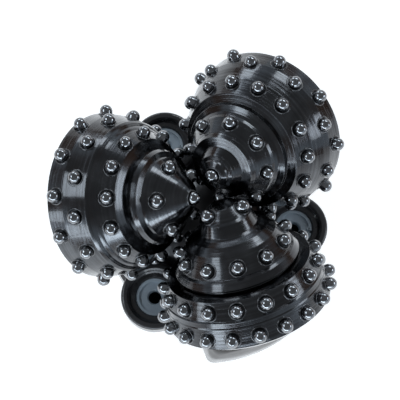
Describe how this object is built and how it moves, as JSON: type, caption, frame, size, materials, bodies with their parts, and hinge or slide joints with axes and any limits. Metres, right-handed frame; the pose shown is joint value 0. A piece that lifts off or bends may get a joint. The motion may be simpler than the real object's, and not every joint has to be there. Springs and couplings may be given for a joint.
{
  "type": "tricone drill bit",
  "caption": "Rotary drill bit with toothed rolling cones on angled journals, fluid nozzles between the arms and a tapered threaded pin.",
  "frame": {"origin": "centre of the water bore at the end of the pin", "axes": "+Z along the bit axis from the pin towards the cones; +X in the plane between two cones, at a nozzle boss side; one cone lies at azimuth 180 degrees"},
  "size_m": [0.2973, 0.3052, 0.3992],
  "materials": {
    "black_steel": "gloss black lacquer over turned steel",
    "carbide": "polished dark carbide",
    "bright_steel": "ground steel",
    "bronze": "bearing bronze",
    "weld_metal": "rippled weld under lacquer",
    "seal_rubber": "nitrile rubber"
  },
  "bodies": {
    "body": {"ball_plug_1": "black_steel", "ball_plug_2": "black_steel", "ball_plug_3": "black_steel", "diaphragm_1": "seal_rubber", "diaphragm_2": "seal_rubber", "diaphragm_3": "seal_rubber", "leg_1": "black_steel", "leg_2": "black_steel", "leg_3": "black_steel", "nozzle_1": "carbide", "nozzle_2": "carbide", "nozzle_3": "carbide", "nozzle_o_rings": "seal_rubber", "nozzle_snap_rings": "black_steel", "reservoir_cap_1": "black_steel", "reservoir_cap_2": "black_steel", "reservoir_cap_3": "black_steel", "reservoir_cup_1": "bright_steel", "reservoir_cup_2": "bright_steel", "reservoir_cup_3": "bright_steel", "reservoir_snap_rings": "black_steel", "weld_beads": "weld_metal"},
    "cone_1": {"cone_1": "black_steel", "cone_seal_1": "seal_rubber", "gage_inserts_1": "carbide", "heel_inserts_1": "carbide", "inner_inserts_1": "carbide", "journal_bushing_1": "bronze", "middle_inserts_1": "carbide", "nose_bushing_1": "bronze", "nose_inserts_1": "carbide", "thrust_button_1": "bronze", "thrust_washer_1": "bronze"},
    "cone_2": {"cone_2": "black_steel", "cone_seal_2": "seal_rubber", "gage_inserts_2": "carbide", "heel_inserts_2": "carbide", "inner_inserts_2": "carbide", "journal_bushing_2": "bronze", "middle_inserts_2": "carbide", "nose_bushing_2": "bronze", "nose_inserts_2": "carbide", "thrust_button_2": "bronze", "thrust_washer_2": "bronze"},
    "cone_3": {"cone_3": "black_steel", "cone_seal_3": "seal_rubber", "gage_inserts_3": "carbide", "heel_inserts_3": "carbide", "journal_bushing_3": "bronze", "middle_inserts_3": "carbide", "nose_bushing_3": "bronze", "nose_inserts_3": "carbide", "thrust_button_3": "bronze", "thrust_washer_3": "bronze"},
    "balls_1": {"balls_1": "bright_steel"},
    "balls_2": {"balls_2": "bright_steel"},
    "balls_3": {"balls_3": "bright_steel"}
  },
  "joints": [
    {"name": "cone_spin_1", "type": "hinge", "parent": "body", "child": "cone_1", "pos_m": [-0.0809, -0.0087, 0.32522], "axis": [-0.809, 0, -0.5878], "continuous": true},
    {"name": "ball_orbit_1", "type": "hinge", "parent": "body", "child": "balls_1", "pos_m": [-0.0809, -0.0087, 0.32522], "axis": [-0.809, 0, -0.5878], "continuous": true},
    {"name": "cone_spin_2", "type": "hinge", "parent": "body", "child": "cone_2", "pos_m": [0.03292, 0.07441, 0.32522], "axis": [0.4045, 0.7006, -0.5878], "continuous": true},
    {"name": "ball_orbit_2", "type": "hinge", "parent": "body", "child": "balls_2", "pos_m": [0.03292, 0.07441, 0.32522], "axis": [0.4045, 0.7006, -0.5878], "continuous": true},
    {"name": "cone_spin_3", "type": "hinge", "parent": "body", "child": "cone_3", "pos_m": [0.04799, -0.06571, 0.32522], "axis": [0.4045, -0.7006, -0.5878], "continuous": true},
    {"name": "ball_orbit_3", "type": "hinge", "parent": "body", "child": "balls_3", "pos_m": [0.04799, -0.06571, 0.32522], "axis": [0.4045, -0.7006, -0.5878], "continuous": true}
  ],
  "couplings": [
    {"joint": "ball_orbit_1", "follows": "cone_spin_1", "ratio": 0.6045},
    {"joint": "ball_orbit_2", "follows": "cone_spin_2", "ratio": 0.6045},
    {"joint": "ball_orbit_3", "follows": "cone_spin_3", "ratio": 0.6045}
  ]
}
